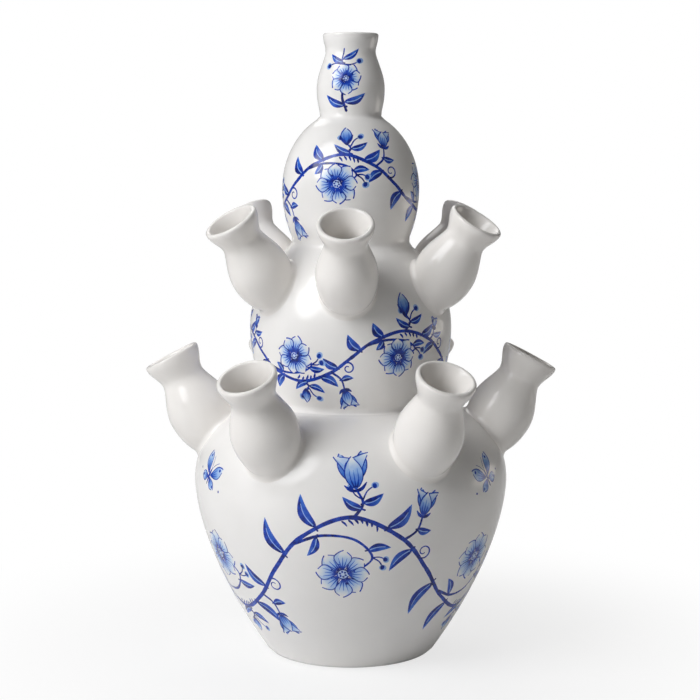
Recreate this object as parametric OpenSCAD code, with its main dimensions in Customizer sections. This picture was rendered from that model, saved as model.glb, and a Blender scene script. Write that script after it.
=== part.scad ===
// Tulip vase: three hollow sections stacked on a flat foot, a mouth on top
// and two rings of six small vase-shaped spouts, all open to one inside.
// Millimetres. +Z is up, the origin is the middle of the foot on the table,
// and the front of the vase faces -Y.

/* [Belly] */
// Height of the belly, from the table to the seat of the middle globe
belly_height = 143; // [138:1:148]
// Radius of the belly at its widest
belly_radius = 89; // [85:1:93]
// Height of the belly's widest ring
belly_widest = 100; // [94:1:104]
// Radius of the flat foot
foot_radius = 43.5; // [40:0.5:48]
// Radius of the round between foot and wall
foot_round = 6.5; // [4:0.5:8]
// Width of the ring that the vase stands on
foot_ring = 8; // [5:0.5:12]
// Depth of the hollow under the foot
foot_hollow = 2.5; // [1:0.5:4]
// Thickness of the floor above that hollow
floor_thickness = 6; // [4:0.5:8]

/* [Globes] */
// Height of the middle globe
middle_height = 90.5; // [86:0.5:95]
// Radius of the middle globe at its widest
middle_radius = 57; // [54:0.5:60]
// Radius of the middle globe's foot on the belly
middle_foot = 46; // [43:0.5:49]
// Height of the middle globe's widest ring above its foot
middle_widest = 43; // [38:1:48]
// Height of the upper globe
upper_height = 70.5; // [66:0.5:75]
// Radius of the upper globe at its widest
upper_radius = 38.5; // [36:0.5:41]
// Radius of the upper globe's foot on the middle globe
upper_foot = 31.6; // [29:0.2:33]
// Height of the upper globe's widest ring above its foot
upper_widest = 30.5; // [26:0.5:34]
// Wall of the belly and of both globes
body_wall = 4.5; // [3.5:0.1:5.5]
// How far the soft hollow at the middle globe's foot runs up and down from the joint
middle_hollow = 4; // [2:0.5:6]
// How far the soft hollow at the upper globe's foot runs up and down from the joint
upper_hollow = 5; // [2:0.5:7]

/* [Top nozzle] */
// Height of the nozzle
nozzle_height = 46; // [44:0.5:50]
// Radius of the nozzle's foot on the upper globe
nozzle_foot = 16.4; // [15.5:0.1:17.5]
// How far the soft hollow at the nozzle's foot runs up and down from the joint
nozzle_hollow = 2.5; // [1.5:0.5:4]
// Radius of the nozzle's rim
nozzle_rim = 15.5; // [15:0.1:16.5]
// Radius of the nozzle's neck
nozzle_neck = 13.9; // [13:0.1:14.5]
// Depth of the nozzle's neck below its rim
nozzle_neck_depth = 10.5; // [9:0.5:12]
// Radius of the nozzle's bulb
nozzle_bulb = 19; // [18:0.1:20.5]
// Depth of the nozzle's widest ring below its rim
nozzle_bulb_depth = 30.5; // [28:0.5:33]

/* [Lower ring of spouts] */
// Radius of a lower spout's rim
lower_rim = 16.3; // [15.5:0.1:17]
// Radius of a lower spout's neck
lower_neck = 12.4; // [11.6:0.1:13]
// Depth of a lower spout's neck below its rim
lower_neck_depth = 14.8; // [13:0.1:16]
// Radius of a lower spout's bulb
lower_bulb = 18.7; // [17.8:0.1:19.6]
// Depth of a lower spout's widest ring below its rim
lower_bulb_depth = 36; // [34:0.5:38]
// Length of a lower spout's bulb below its widest ring
lower_tail = 28; // [26:0.5:30]
// How far the bulbs' centres lie inside the belly's widest radius
lower_inset = 3; // [0:0.1:5]
// How far the bulbs' centres lie below the top of the belly
lower_drop = 5.5; // [4:0.1:8]
// Lean of the lower spouts, degrees from upright
lower_lean = 28; // [22:0.5:32]

/* [Middle ring of spouts] */
// Radius of a middle spout's rim
middle_rim = 15.3; // [14.5:0.1:16]
// Radius of a middle spout's neck
middle_neck = 11.6; // [10.8:0.1:12.2]
// Depth of a middle spout's neck below its rim
middle_neck_depth = 13.8; // [12:0.1:15]
// Radius of a middle spout's bulb
middle_bulb = 17; // [16.2:0.1:18]
// Depth of a middle spout's widest ring below its rim
middle_bulb_depth = 34.5; // [32:0.5:36]
// Length of a middle spout's bulb below its widest ring
middle_tail = 24.5; // [23:0.5:27]
// How far the bulbs' centres lie outside the globe's widest radius
middle_outset = 2.2; // [0:0.1:4]
// How far the bulbs' centres lie below the top of the globe
middle_drop = 13.8; // [11:0.1:16]
// Lean of the middle spouts, degrees from upright
middle_lean = 33.5; // [29:0.5:38]

/* [Mouths] */
// Wall of the nozzle and the spouts
mouth_wall = 2.8; // [2.2:0.1:3.4]
// Length of the straight throat in each mouth
throat_length = 5; // [4:0.5:6]
// How much narrower than the throat the hole in the body under a spout is, on its radius
passage_step = 1.6; // [1:0.1:2.5]

/* [Hidden] */
$fn = 96;
// Straight steps in each curved stretch of an outline
curve_steps = 8;
// Sweep of the round at the foot, in degrees
foot_sweep = 57;
// How fast the belly draws in below its widest ring
taper_power = 1.66;
// How slowly a bulb swells out of its neck
swell_power = 1.3;
// Draft of the hollow under the foot
hollow_draft = 2;
// How far a cut runs past the face that it opens
overcut = 1;

spout_count = 6;
spout_pitch = 360 / spout_count;
// Degrees by which each spout was set off the even spacing by hand
lower_turns = [-1, 1.5, 2, -2.5, -2, -2];
middle_turns = [-2, 1.5, -1.5, 0, -8, 3.5];

middle_base = belly_height;
upper_base = middle_base + middle_height;
nozzle_base = upper_base + upper_height;
vase_height = nozzle_base + nozzle_height;
// Openings that the stacked sections share, from the foot of the upper one
middle_bore = middle_foot - body_wall;
upper_bore = upper_foot - body_wall;
nozzle_bore = nozzle_foot - mouth_wall;

glaze_white = "#f2efea";

// Elliptical stretch of an outline, from the point end to the widest point, where it stands upright.
// Hub is the ellipse's centre radius, and clear the length that is left off at the point end.
function dome(end, widest, hub = 0, clear = 0) =
    let (
        across = widest.x - hub,
        sweep = acos((end.x - hub) / across),
        reach = (end.y - widest.y) / sin(sweep),
        length_per_degree = norm([across * sin(sweep), reach * cos(sweep)]) * PI / 180,
        start = sweep - clear / length_per_degree
    )
    [
        for (i = [0 : curve_steps])
        let (turn = start * (1 - i / curve_steps))
        [hub + across * cos(turn), widest.y + reach * sin(turn)]
    ];

// Soft hollow at the corner between two sections, from the lower one up to the other
function hollow(from, corner, to) = [
    for (i = [0 : curve_steps])
    let (part = i / curve_steps)
    pow(1 - part, 2) * from + 2 * part * (1 - part) * corner + pow(part, 2) * to
];

// The lower section's half of a hollow, and the upper one's
function below_joint(points) = [for (i = [0 : curve_steps / 2]) points[i]];
function above_joint(points) = [for (i = [curve_steps / 2 : curve_steps]) points[i]];

// Belly wall below its widest point, drawing in ever faster towards toe
function taper(toe, widest) = [
    for (i = [0 : curve_steps])
    let (left = 1 - i / curve_steps)
    [
        widest.x - (widest.x - toe.x) * pow(left, taper_power),
        widest.y - (widest.y - toe.y) * left
    ]
];

// Soft S from one radius to another, as on the flare of a mouth
function flare(start, end) = [
    for (i = [0 : curve_steps])
    let (part = i / curve_steps)
    [
        start.x + (end.x - start.x) * (1 - cos(180 * part)) / 2,
        start.y + (end.y - start.y) * part
    ]
];

// Shoulder of a bulb: leaves the neck upright, swells and stands upright again at the widest point
function swell(neck, widest) = [
    for (i = [0 : curve_steps])
    let (part = i / curve_steps)
    [
        neck.x + (widest.x - neck.x) * pow(sin(90 * part), swell_power),
        neck.y + (widest.y - neck.y) * part
    ]
];

// Round stretch about centre, between two angles
function arc(centre, radius, from, to) = [
    for (i = [0 : curve_steps])
    let (turn = from + (to - from) * i / curve_steps)
    centre + radius * [cos(turn), sin(turn)]
];

function lifted(points) = [for (point = points) point + [0, vase_height]];

function reversed(points) = [for (i = [len(points) - 1 : -1 : 0]) points[i]];

// Stretches joined end to end; each starts where the one before it ends
function joined(stretches) = [
    for (s = stretches)
    for (i = [0 : len(s) - 1])
    if (i > 0 || s == stretches[0])
    s[i]
];

// Outline that runs upwards, moved inwards by the wall
function inset(points, wall) = [
    for (i = [0 : len(points) - 1])
    let (
        before = points[max(i - 1, 0)],
        after = points[min(i + 1, len(points) - 1)],
        along = (after - before) / norm(after - before)
    )
    points[i] + wall * [-along.y, along.x]
];

// Where each section stands on the one below it, before the corner is softened
middle_corner = [middle_foot, middle_base];
upper_corner = [upper_foot, upper_base];
nozzle_corner = [nozzle_foot, nozzle_base];

belly_middle = [belly_radius, belly_widest];
middle_middle = [middle_radius, middle_base + middle_widest];
upper_middle = [upper_radius, upper_base + upper_widest];
nozzle_middle = [nozzle_bulb, vase_height - nozzle_bulb_depth];

// Walls that run from the joints to the widest rings
belly_shoulder = dome(middle_corner, belly_middle, middle_foot, middle_hollow);
middle_flank = dome(middle_corner, middle_middle, 0, middle_hollow);
middle_shoulder = dome(upper_corner, middle_middle, 0, upper_hollow);
upper_flank = dome(upper_corner, upper_middle, 0, upper_hollow);
upper_shoulder = dome(nozzle_corner, upper_middle, 0, nozzle_hollow);
nozzle_flank = dome(nozzle_corner, nozzle_middle, 0, nozzle_hollow);

middle_waist = hollow(belly_shoulder[0], middle_corner, middle_flank[0]);
upper_waist = hollow(middle_shoulder[0], upper_corner, upper_flank[0]);
nozzle_waist = hollow(upper_shoulder[0], nozzle_corner, nozzle_flank[0]);

belly_foot = arc([foot_radius, foot_round], foot_round, -90, foot_sweep - 90);

belly_outline = joined([
    belly_foot,
    taper(belly_foot[curve_steps], belly_middle),
    reversed(belly_shoulder),
    below_joint(middle_waist)
]);

middle_outline = joined([
    above_joint(middle_waist),
    middle_flank,
    reversed(middle_shoulder),
    below_joint(upper_waist)
]);

upper_outline = joined([
    above_joint(upper_waist),
    upper_flank,
    reversed(upper_shoulder),
    below_joint(nozzle_waist)
]);

// One face of a mouth from the top of its rim at height 0 down to the bulb's widest ring:
// half of the rim's round, the flare, a straight throat (inside only) and the bulb's shoulder.
// Side is 0 for the outside and 1 for the inside.
function mouth_face(side, rim, neck, neck_depth, bulb, bulb_depth) =
    let (
        lip = mouth_wall / 2,
        wall = side * mouth_wall,
        narrows = [neck - wall, -neck_depth],
        widens = narrows - [0, side * throat_length]
    )
    joined(concat(
        [
            arc([rim - lip, -lip], lip, 90, 180 * side),
            flare([rim - wall, -lip], narrows)
        ],
        side == 1 ? [[narrows, widens]] : [],
        [swell(widens, [bulb - wall, -bulb_depth])]
    ));

// Solid of revolution inside an outline that runs upwards
module turned(outline) {
    foot = outline[0];
    top = outline[len(outline) - 1];
    rotate_extrude() polygon(concat([[0, foot.y]], outline, [[0, top.y]]));
}

// Upright hole between two heights
module bore(radius, from, to) {
    translate([0, 0, from]) cylinder(r = radius, h = to - from);
}

// Opening between two stacked sections, clear of both at their joint
module joint_bore(radius, waist) {
    bore(radius, waist[0].y - 2 * body_wall, waist[curve_steps].y + body_wall);
}

// Upright spout with its rim at height 0 and its bulb closed below
module spout(rim, neck, neck_depth, bulb, bulb_depth, tail) {
    function face(side) =
        let (
            wall = side * mouth_wall,
            bottom = [0, -bulb_depth - tail + wall]
        )
        joined([
            mouth_face(side, rim, neck, neck_depth, bulb, bulb_depth),
            reversed(dome(bottom, [bulb - wall, -bulb_depth]))
        ]);
    rotate_extrude() polygon(concat(reversed(face(0)), face(1)));
}

// Puts an upright spout, or its drill, in place: lean it outwards, then turn it about the vase
module in_ring(turn, radius, height, lean, bulb_depth) {
    rotate([0, 0, turn])
        translate([0, -radius, height])
        rotate([lean, 0, 0])
        translate([0, 0, bulb_depth])
        children();
}

module in_lower_ring(i) {
    in_ring(
        spout_pitch * (i - 0.5) + lower_turns[i - 1],
        belly_radius - lower_inset,
        belly_height - lower_drop,
        lower_lean,
        lower_bulb_depth
    ) children();
}

module in_middle_ring(i) {
    in_ring(
        spout_pitch * (i - 1) + middle_turns[i - 1],
        middle_radius + middle_outset,
        upper_base - middle_drop,
        middle_lean,
        middle_bulb_depth
    ) children();
}

// Hole through the body's wall under a spout, a little narrower than the spout's throat
module drill(neck, bulb_depth, tail) {
    bore(neck - mouth_wall - passage_step, -bulb_depth - tail - 2 * body_wall, -bulb_depth);
}

module lower_body() {
    floor_top = foot_hollow + floor_thickness;
    hollow_radius = foot_radius - foot_ring;
    color(glaze_white)
    difference() {
        turned(belly_outline);
        intersection() {
            turned(inset(belly_outline, body_wall));
            bore(belly_radius, floor_top, belly_height);
        }
        joint_bore(middle_bore, middle_waist);
        translate([0, 0, -overcut])
            cylinder(
                r1 = hollow_radius + hollow_draft * overcut / foot_hollow,
                r2 = hollow_radius - hollow_draft,
                h = foot_hollow + overcut
            );
        for (i = [1 : spout_count])
            in_lower_ring(i) drill(lower_neck, lower_bulb_depth, lower_tail);
    }
}

module middle_globe() {
    color(glaze_white)
    difference() {
        turned(middle_outline);
        turned(inset(middle_outline, body_wall));
        joint_bore(middle_bore, middle_waist);
        joint_bore(upper_bore, upper_waist);
        for (i = [1 : spout_count])
            in_middle_ring(i) drill(middle_neck, middle_bulb_depth, middle_tail);
    }
}

module upper_globe() {
    color(glaze_white)
    difference() {
        turned(upper_outline);
        turned(inset(upper_outline, body_wall));
        joint_bore(upper_bore, upper_waist);
        joint_bore(nozzle_bore, nozzle_waist);
    }
}

module top_nozzle() {
    seat = above_joint(nozzle_waist)[0];
    outside = joined([
        lifted(mouth_face(0, nozzle_rim, nozzle_neck, nozzle_neck_depth, nozzle_bulb, nozzle_bulb_depth)),
        reversed(nozzle_flank),
        reversed(above_joint(nozzle_waist))
    ]);
    inside = joined([
        lifted(mouth_face(1, nozzle_rim, nozzle_neck, nozzle_neck_depth, nozzle_bulb, nozzle_bulb_depth)),
        reversed(dome([nozzle_bore, seat.y], nozzle_middle - [mouth_wall, 0]))
    ]);
    color(glaze_white)
    rotate_extrude() polygon(concat(reversed(outside), inside));
}

// A spout's root is cut to the shape of the wall that it stands on
module lower_spout(i) {
    color(glaze_white)
    difference() {
        in_lower_ring(i)
            spout(lower_rim, lower_neck, lower_neck_depth, lower_bulb, lower_bulb_depth, lower_tail);
        turned(belly_outline);
    }
}

module middle_spout(i) {
    color(glaze_white)
    difference() {
        in_middle_ring(i)
            spout(middle_rim, middle_neck, middle_neck_depth, middle_bulb, middle_bulb_depth, middle_tail);
        turned(middle_outline);
    }
}

lower_body();
middle_globe();
upper_globe();
top_nozzle();
for (i = [1 : spout_count]) {
    lower_spout(i);
    middle_spout(i);
}
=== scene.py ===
"""Looks of the tulip vase: glazed porcelain sections with a painted cobalt decor, and plain white spouts."""

import math
import random

import bmesh
import bpy
import numpy as np
from mathutils import Matrix, Vector
from mathutils.geometry import delaunay_2d_cdt


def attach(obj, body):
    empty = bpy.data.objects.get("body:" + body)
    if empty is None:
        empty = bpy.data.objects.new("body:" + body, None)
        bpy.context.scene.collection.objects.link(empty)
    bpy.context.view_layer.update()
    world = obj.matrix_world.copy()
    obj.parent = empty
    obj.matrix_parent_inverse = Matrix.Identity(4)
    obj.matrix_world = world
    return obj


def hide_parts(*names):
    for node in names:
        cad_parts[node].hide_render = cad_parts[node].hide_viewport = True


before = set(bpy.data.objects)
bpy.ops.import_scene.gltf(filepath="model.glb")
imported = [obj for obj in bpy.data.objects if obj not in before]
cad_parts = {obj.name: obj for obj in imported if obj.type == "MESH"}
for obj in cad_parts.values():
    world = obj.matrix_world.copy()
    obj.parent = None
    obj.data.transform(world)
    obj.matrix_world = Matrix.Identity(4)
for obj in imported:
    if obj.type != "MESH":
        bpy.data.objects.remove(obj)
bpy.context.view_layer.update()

MM = 0.001

# Sizes of the vase, as in the part's source, in millimetres and degrees, and powers of its curves
BELLY_HEIGHT = 143.0
BELLY_RADIUS = 89.0
BELLY_WIDEST = 100.0
FOOT_RADIUS = 43.5
FOOT_ROUND = 6.5
FOOT_SWEEP = 57.0
FOOT_RING = 8.0
FOOT_HOLLOW = 2.5
HOLLOW_DRAFT = 2.0
TAPER_POWER = 1.66
MIDDLE_HEIGHT = 90.5
MIDDLE_RADIUS = 57.0
MIDDLE_FOOT = 46.0
MIDDLE_WIDEST = 43.0
MIDDLE_HOLLOW = 4.0
UPPER_HEIGHT = 70.5
UPPER_RADIUS = 38.5
UPPER_FOOT = 31.6
UPPER_WIDEST = 30.5
UPPER_HOLLOW = 5.0
BODY_WALL = 4.5
NOZZLE_HEIGHT = 46.0
NOZZLE_FOOT = 16.4
NOZZLE_HOLLOW = 2.5
NOZZLE_RIM = 15.5
NOZZLE_NECK = 13.9
NOZZLE_NECK_DEPTH = 10.5
NOZZLE_BULB = 19.0
NOZZLE_BULB_DEPTH = 30.5
LOWER_RIM = 16.3
LOWER_NECK = 12.4
LOWER_NECK_DEPTH = 14.8
LOWER_BULB = 18.7
LOWER_BULB_DEPTH = 36.0
LOWER_TAIL = 28.0
LOWER_INSET = 3.0
LOWER_DROP = 5.5
LOWER_LEAN = 28.0
LOWER_TURNS = (-1, 1.5, 2, -2.5, -2, -2)
MIDDLE_RIM = 15.3
MIDDLE_NECK = 11.6
MIDDLE_NECK_DEPTH = 13.8
MIDDLE_BULB = 17.0
MIDDLE_BULB_DEPTH = 34.5
MIDDLE_TAIL = 24.5
MIDDLE_OUTSET = 2.2
MIDDLE_DROP = 13.8
MIDDLE_LEAN = 33.5
MIDDLE_TURNS = (-2, 1.5, -1.5, 0, -8, 3.5)
SPOUT_PITCH = 60.0
MOUTH_WALL = 2.8
THROAT_LENGTH = 5.0
PASSAGE_STEP = 1.6
SWELL_POWER = 1.3

UPPER_BASE = BELLY_HEIGHT + MIDDLE_HEIGHT
NOZZLE_BASE = UPPER_BASE + UPPER_HEIGHT
VASE_HEIGHT = NOZZLE_BASE + NOZZLE_HEIGHT

# Sides of a wall
OUTSIDE = 0
INSIDE = 1

# How fast the inside of a mouth opens towards its rim
TRUMPET_POWER = 1.8

# Fineness of the meshes
CURVE_STEPS = 20
ARC_STEPS = 8
SKIN_COLUMNS = 144
SKIN_ROW = 3.2
HOLE_COLUMNS = 32
HOLE_STEPS = 120
SPOUT_COLUMNS = 72
TAIL_ROWS = 16
TAIL_STEPS = 240

# Slack for cutting, welding and closing meshes, and for what lies on a wall, in millimetres
CUT_SLACK = 1e-5
WELD_GAP = 0.002
SEAM_GAP = 1e-4
ON_WALL = 0.05

# Smallest divisor, and how many places are set against a wall at once
TINY = 1e-9
GAP_BATCH = 1000

# Length past a spout's tail along which its hole is looked for
HOLE_REACH = 8

# Soft root where a spout's tail runs onto the wall
ROOT_ROUND = 3.2
ROOT_SINK = 0.12
ROOT_ROWS = 7

# A section's own map holds its painted outside below and its plain inside above
PAINTED_SHARE = 0.82
PLAIN_START = PAINTED_SHARE + 0.02
PLAIN_SHARE = 0.97 - PAINTED_SHARE


# Outlines, each an array of radius and height

def dome(end, widest, hub=0.0, clear=0.0):
    """Elliptical stretch from end to the widest point, less the length clear at its end."""
    across = widest[0] - hub
    sweep = math.acos((end[0] - hub) / across)
    reach = (end[1] - widest[1]) / math.sin(sweep)
    speed = math.hypot(across * math.sin(sweep), reach * math.cos(sweep))
    turns = np.linspace(sweep - clear / speed, 0.0, CURVE_STEPS + 1)
    return np.stack([hub + across * np.cos(turns), widest[1] + reach * np.sin(turns)], axis=1)


def hollow(start, corner, end):
    """Soft hollow that rounds the corner between two sections."""
    part = np.linspace(0.0, 1.0, CURVE_STEPS + 1)[:, None]
    return (1 - part) ** 2 * start + 2 * part * (1 - part) * np.array(corner) + part ** 2 * end


def taper(toe, widest):
    left = np.linspace(1.0, 0.0, CURVE_STEPS + 1)
    radius = widest[0] - (widest[0] - toe[0]) * left ** TAPER_POWER
    height = widest[1] - (widest[1] - toe[1]) * left
    return np.stack([radius, height], axis=1)


def flare(start, end):
    part = np.linspace(0.0, 1.0, CURVE_STEPS + 1)
    radius = start[0] + (end[0] - start[0]) * (1 - np.cos(math.pi * part)) / 2
    height = start[1] + (end[1] - start[1]) * part
    return np.stack([radius, height], axis=1)


def trumpet(start, end):
    """Inside of a mouth, which opens ever more towards its rim."""
    left = np.linspace(1.0, 0.0, CURVE_STEPS + 1)
    radius = end[0] + (start[0] - end[0]) * left ** TRUMPET_POWER
    height = end[1] + (start[1] - end[1]) * left
    return np.stack([radius, height], axis=1)


def swell(neck, widest):
    part = np.linspace(0.0, 1.0, CURVE_STEPS + 1)
    radius = neck[0] + (widest[0] - neck[0]) * np.sin(math.pi / 2 * part) ** SWELL_POWER
    height = neck[1] + (widest[1] - neck[1]) * part
    return np.stack([radius, height], axis=1)


def arc(centre, radius, start, end):
    turns = np.radians(np.linspace(start, end, ARC_STEPS + 1))
    return np.stack([centre[0] + radius * np.cos(turns), centre[1] + radius * np.sin(turns)], axis=1)


def joined(*stretches):
    return np.concatenate([stretches[0]] + [s[1:] for s in stretches[1:]])


def mouth_face(side, rim, neck, neck_depth, bulb, bulb_depth):
    """One side of a mouth, from the top of its rim to its widest ring."""
    lip = MOUTH_WALL / 2
    wall = side * MOUTH_WALL
    narrows = (neck - wall, -neck_depth)
    widens = (neck - wall, -neck_depth - side * THROAT_LENGTH)
    if side == INSIDE:
        tilt = math.degrees(math.atan(TRUMPET_POWER * (rim - neck) / neck_depth))
        edge = arc((rim - lip, -lip), lip, 90, 180 - tilt)
        stretches = [edge, trumpet(edge[-1], narrows), np.array([narrows, widens])]
    else:
        stretches = [arc((rim - lip, -lip), lip, 90, 0), flare((rim, -lip), narrows)]
    stretches.append(swell(widens, (bulb - wall, -bulb_depth)))
    return joined(*stretches)


MIDDLE_CORNER = (MIDDLE_FOOT, BELLY_HEIGHT)
UPPER_CORNER = (UPPER_FOOT, UPPER_BASE)
NOZZLE_CORNER = (NOZZLE_FOOT, NOZZLE_BASE)
BELLY_MIDDLE = (BELLY_RADIUS, BELLY_WIDEST)
MIDDLE_MIDDLE = (MIDDLE_RADIUS, BELLY_HEIGHT + MIDDLE_WIDEST)
UPPER_MIDDLE = (UPPER_RADIUS, UPPER_BASE + UPPER_WIDEST)
NOZZLE_MIDDLE = (NOZZLE_BULB, VASE_HEIGHT - NOZZLE_BULB_DEPTH)

belly_shoulder = dome(MIDDLE_CORNER, BELLY_MIDDLE, MIDDLE_FOOT, MIDDLE_HOLLOW)
middle_flank = dome(MIDDLE_CORNER, MIDDLE_MIDDLE, 0.0, MIDDLE_HOLLOW)
middle_shoulder = dome(UPPER_CORNER, MIDDLE_MIDDLE, 0.0, UPPER_HOLLOW)
upper_flank = dome(UPPER_CORNER, UPPER_MIDDLE, 0.0, UPPER_HOLLOW)
upper_shoulder = dome(NOZZLE_CORNER, UPPER_MIDDLE, 0.0, NOZZLE_HOLLOW)
nozzle_flank = dome(NOZZLE_CORNER, NOZZLE_MIDDLE, 0.0, NOZZLE_HOLLOW)

middle_waist = hollow(belly_shoulder[0], MIDDLE_CORNER, middle_flank[0])
upper_waist = hollow(middle_shoulder[0], UPPER_CORNER, upper_flank[0])
nozzle_waist = hollow(upper_shoulder[0], NOZZLE_CORNER, nozzle_flank[0])

# Step of a waist at which the section below ends and the one above starts
WAIST_SPLIT = CURVE_STEPS // 2

belly_foot = arc((FOOT_RADIUS, FOOT_ROUND), FOOT_ROUND, -90, FOOT_SWEEP - 90)
nozzle_mouth = (NOZZLE_RIM, NOZZLE_NECK, NOZZLE_NECK_DEPTH, NOZZLE_BULB, NOZZLE_BULB_DEPTH)
nozzle_outside = mouth_face(OUTSIDE, *nozzle_mouth) + (0, VASE_HEIGHT)
nozzle_inside = mouth_face(INSIDE, *nozzle_mouth) + (0, VASE_HEIGHT)


class Wall:
    """Outside of a turned section: an outline that runs upwards and is measured along its own length."""

    def __init__(self, *stretches):
        self.points = joined(*stretches)
        steps = np.linalg.norm(np.diff(self.points, axis=0), axis=1)
        self.run = np.concatenate([[0.0], np.cumsum(steps)])
        along = np.gradient(self.points, self.run, axis=0)
        along /= np.linalg.norm(along, axis=1)[:, None]
        self.out = np.stack([along[:, 1], -along[:, 0]], axis=1)
        self.length = self.run[-1]
        self.widest = self.points[:, 0].max()

    def radius(self, v):
        return np.interp(v, self.run, self.points[:, 0])

    def height(self, v):
        return np.interp(v, self.run, self.points[:, 1])

    def at_height(self, z):
        """Length along the wall at which it reaches a height."""
        return np.interp(z, self.points[:, 1], self.run)

    def gap_to(self, places):
        """Signed distance of places from the wall, with the wall's outward direction there."""
        start = self.points[:-1]
        step = np.diff(self.points, axis=0)
        gaps, outs = [], []
        for batch in np.array_split(places, len(places) // GAP_BATCH + 1):
            radius = np.hypot(batch[:, 0], batch[:, 1])
            flat = np.stack([radius, batch[:, 2]], axis=1)[:, None, :] - start[None]
            share = np.clip((flat * step).sum(axis=2) / (step ** 2).sum(axis=1), 0.0, 1.0)
            away = flat - share[..., None] * step
            gap = np.linalg.norm(away, axis=2)
            best = gap.argmin(axis=1)
            row = np.arange(len(best))
            part = share[row, best][:, None]
            out = (1 - part) * self.out[best] + part * self.out[best + 1]
            out /= np.linalg.norm(out, axis=1)[:, None]
            gaps.append(np.sign((away[row, best] * out).sum(axis=1)) * gap[row, best])
            around = batch[:, :2] / np.maximum(radius, TINY)[:, None]
            outs.append(np.concatenate([around * out[:, :1], out[:, 1:]], axis=1))
        return np.concatenate(gaps), np.concatenate(outs)


belly = Wall(
    belly_foot,
    taper(belly_foot[-1], BELLY_MIDDLE),
    belly_shoulder[::-1],
    middle_waist[:WAIST_SPLIT + 1],
)
middle = Wall(middle_waist[WAIST_SPLIT:], middle_flank, middle_shoulder[::-1], upper_waist[:WAIST_SPLIT + 1])
upper = Wall(upper_waist[WAIST_SPLIT:], upper_flank, upper_shoulder[::-1], nozzle_waist[:WAIST_SPLIT + 1])
nozzle = Wall(nozzle_waist[WAIST_SPLIT:], nozzle_flank, nozzle_outside[ARC_STEPS:][::-1])


class Ring:
    """One ring of equal spouts: their sizes, their places and the wall that carries them."""

    def __init__(self, wall, mouth, tail, radius, height, lean, turns):
        self.wall = wall
        self.mouth = mouth
        self.tail = tail
        self.turns = turns
        _, neck, _, self.bulb, self.bulb_depth = mouth
        self.passage = neck - MOUTH_WALL - PASSAGE_STEP
        stand = Matrix.Translation((0, -radius, height)) @ Matrix.Rotation(math.radians(lean), 4, "X")
        self.seat = np.array(stand @ Matrix.Translation((0, 0, self.bulb_depth)))


lower_ring = Ring(
    belly,
    mouth=(LOWER_RIM, LOWER_NECK, LOWER_NECK_DEPTH, LOWER_BULB, LOWER_BULB_DEPTH),
    tail=LOWER_TAIL,
    radius=BELLY_RADIUS - LOWER_INSET,
    height=BELLY_HEIGHT - LOWER_DROP,
    lean=LOWER_LEAN,
    turns=[SPOUT_PITCH * (i + 0.5) + turn for i, turn in enumerate(LOWER_TURNS)],
)
middle_ring = Ring(
    middle,
    mouth=(MIDDLE_RIM, MIDDLE_NECK, MIDDLE_NECK_DEPTH, MIDDLE_BULB, MIDDLE_BULB_DEPTH),
    tail=MIDDLE_TAIL,
    radius=MIDDLE_RADIUS + MIDDLE_OUTSET,
    height=UPPER_BASE - MIDDLE_DROP,
    lean=MIDDLE_LEAN,
    turns=[SPOUT_PITCH * i + turn for i, turn in enumerate(MIDDLE_TURNS)],
)


class Column:
    """Places down one side of a spout on the front of the vase, with the gap from each to the wall."""

    def __init__(self, ring, line, angle):
        way = np.array([math.cos(angle), math.sin(angle), 0.0])
        self.way = way @ ring.seat[:3, :3].T
        across, up = line.T
        upright = np.stack([across * way[0], across * way[1], up, np.ones(len(line))], axis=1)
        self.places = (upright @ ring.seat.T)[:, :3]
        self.gaps = ring.wall.gap_to(self.places)[0]

    def mark(self, gap):
        """Step at which the line first comes as near to the wall as the gap."""
        near = np.nonzero(self.gaps < gap)[0]
        k = max(int(near[0]), 1) if len(near) else len(self.gaps) - 1
        fall = self.gaps[k - 1] - self.gaps[k]
        return k - 1 + float(np.clip((self.gaps[k - 1] - gap) / max(fall, TINY), 0, 1))

    def at(self, mark):
        k = min(int(mark), len(self.places) - 2)
        return self.places[k] + (self.places[k + 1] - self.places[k]) * (mark - k)


# Brushwork: closed outlines on a wall's unrolled surface, drawn with complex numbers in millimetres

# Length of a step along a brush line, and the fewest and most steps between two points
LINE_STEP = 1.1
LINE_STEPS = (2, 18)

# Steps along a petal and around a dot, and the distance between comma touches
PETAL_STEPS = 12
DOT_STEPS = 12
COMMA_STEP = 2.6

# Range of a stroke's uneven width, and the reach of its round ends as a share of half that width
WOBBLE = (0.86, 1.14)
ROUND_END = 0.8

# Usual reach of the veins along a petal, and the ink at a leaf's foot and tip
VEIN_REACH = 0.55
LEAF_INK = (0.98, 0.6)


def smooth_line(points, step=LINE_STEP):
    """Flowing line through a few points, cut into short straight steps."""
    points = np.array(points, dtype=complex)
    steps = int(np.clip(np.abs(np.diff(points)).max() / step, *LINE_STEPS))
    ends = np.concatenate([[2 * points[0] - points[1]], points, [2 * points[-1] - points[-2]]])
    part = np.linspace(0, 1, steps, endpoint=False)
    line = []
    for a, b, c, d in zip(ends, ends[1:], ends[2:], ends[3:]):
        curve = 2 * b + (c - a) * part + (2 * a - 5 * b + 4 * c - d) * part ** 2
        line.append((curve + (3 * b - a - 3 * c + d) * part ** 3) / 2)
    return np.concatenate(line + [points[-1:]])


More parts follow.
